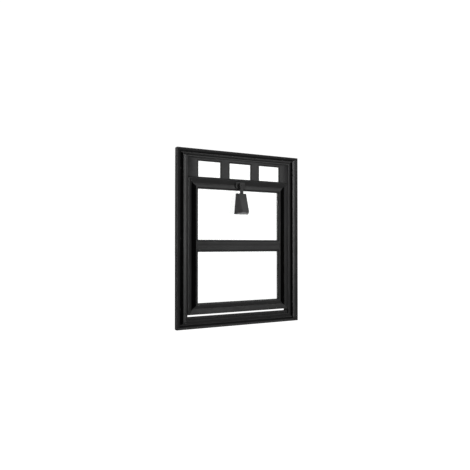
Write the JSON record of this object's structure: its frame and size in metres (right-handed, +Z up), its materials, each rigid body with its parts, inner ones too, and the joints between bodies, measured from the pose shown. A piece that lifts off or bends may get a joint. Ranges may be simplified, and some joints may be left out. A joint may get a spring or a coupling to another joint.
{
  "type": "window sash with crank",
  "caption": "Bottom-hung window sash in a moulded frame with a glazed transom plate, two stays and a hanging crank that throws two bolts.",
  "frame": {"origin": "centre of the flange's back face, which is the centre of the four wall screws", "axes": "+X right as seen from the room, +Y out through the wall, +Z up"},
  "size_m": [0.756, 0.0946, 0.905],
  "materials": {
    "black_casing": "satin black powder coat on extruded aluminium",
    "grip_black": "satin black moulding",
    "black_rubber": "matt EPDM",
    "black_steel": "blackened",
    "zinc_steel": "zinc plated",
    "bush_plastic": "natural nylon",
    "clear_glass": "clear float glass"
  },
  "bodies": {
    "frame": {"frame_jamb_left": "black_casing", "frame_jamb_right": "black_casing", "frame_head": "black_casing", "frame_sill": "black_casing", "frame_corner_keys": "zinc_steel", "frame_corner_screws": "black_steel", "sill_threshold": "black_casing", "transom_plate": "black_casing", "transom_bar": "black_casing", "transom_glass": "clear_glass", "transom_gasket": "black_rubber", "transom_beads": "black_casing", "transom_screws": "black_steel", "stop_strips": "black_casing", "weather_seal": "black_rubber", "bolt_keepers": "zinc_steel", "pivot_brackets": "zinc_steel", "pivot_pins": "zinc_steel", "stay_bases": "zinc_steel", "hardware_screws": "black_steel"},
    "sash": {"sash_stile_left": "black_casing", "sash_stile_right": "black_casing", "sash_top_rail": "black_casing", "sash_bottom_rail": "black_casing", "sash_corner_keys": "zinc_steel", "sash_corner_screws": "black_steel", "sash_mid_rail": "black_casing", "sash_glass_lower": "clear_glass", "sash_glass_upper": "clear_glass", "sash_gaskets": "black_rubber", "sash_beads": "black_casing", "setting_blocks": "black_rubber", "pivot_bushes": "bush_plastic", "stay_tracks": "zinc_steel", "gearbox_front_plate": "zinc_steel", "gearbox_back_plate": "zinc_steel", "gearbox_pillars": "zinc_steel", "bolt_guides": "bush_plastic", "crank_rose": "black_casing", "rose_screws": "black_steel"},
    "stay_left": {"stay_arm_left": "zinc_steel", "stay_stud_left": "zinc_steel"},
    "stay_right": {"stay_arm_right": "zinc_steel", "stay_stud_right": "zinc_steel"},
    "crank": {"crank_spindle": "zinc_steel", "drive_pinion": "zinc_steel", "crank_arm": "black_casing", "crank_screw": "black_steel", "crank_grip": "grip_black", "grip_cover": "grip_black", "cover_screws": "black_steel"},
    "bolt_left": {"bolt_rack_left": "zinc_steel", "bolt_left": "zinc_steel"},
    "bolt_right": {"bolt_rack_right": "zinc_steel", "bolt_right": "zinc_steel"}
  },
  "joints": [
    {"name": "sash_tilt", "type": "hinge", "parent": "frame", "child": "sash", "pos_m": [0, 0.008, -0.357], "axis": [1, 0, 0], "range_deg": [0, 35]},
    {"name": "stay_left_swing", "type": "hinge", "parent": "frame", "child": "stay_left", "pos_m": [0, 0.008, -0.247], "axis": [1, 0, 0], "range_deg": [0, 71]},
    {"name": "stay_right_swing", "type": "hinge", "parent": "frame", "child": "stay_right", "pos_m": [0, 0.008, -0.247], "axis": [1, 0, 0], "range_deg": [0, 71]},
    {"name": "crank_turn", "type": "hinge", "parent": "sash", "child": "crank", "pos_m": [0, 0, 0.28], "axis": [0, -1, 0], "range_deg": [0, 90]},
    {"name": "bolt_left_slide", "type": "slide", "parent": "sash", "child": "bolt_left", "axis": [-1, 0, 0], "range_m": [0, 0.0142]},
    {"name": "bolt_right_slide", "type": "slide", "parent": "sash", "child": "bolt_right", "axis": [1, 0, 0], "range_m": [0, 0.0142]}
  ],
  "couplings": [
    {"joint": "stay_left_swing", "follows": "sash_tilt", "ratio": 2},
    {"joint": "stay_right_swing", "follows": "sash_tilt", "ratio": 2},
    {"joint": "bolt_left_slide", "follows": "crank_turn", "m_per_rad": 0.009},
    {"joint": "bolt_right_slide", "follows": "crank_turn", "m_per_rad": 0.009}
  ]
}
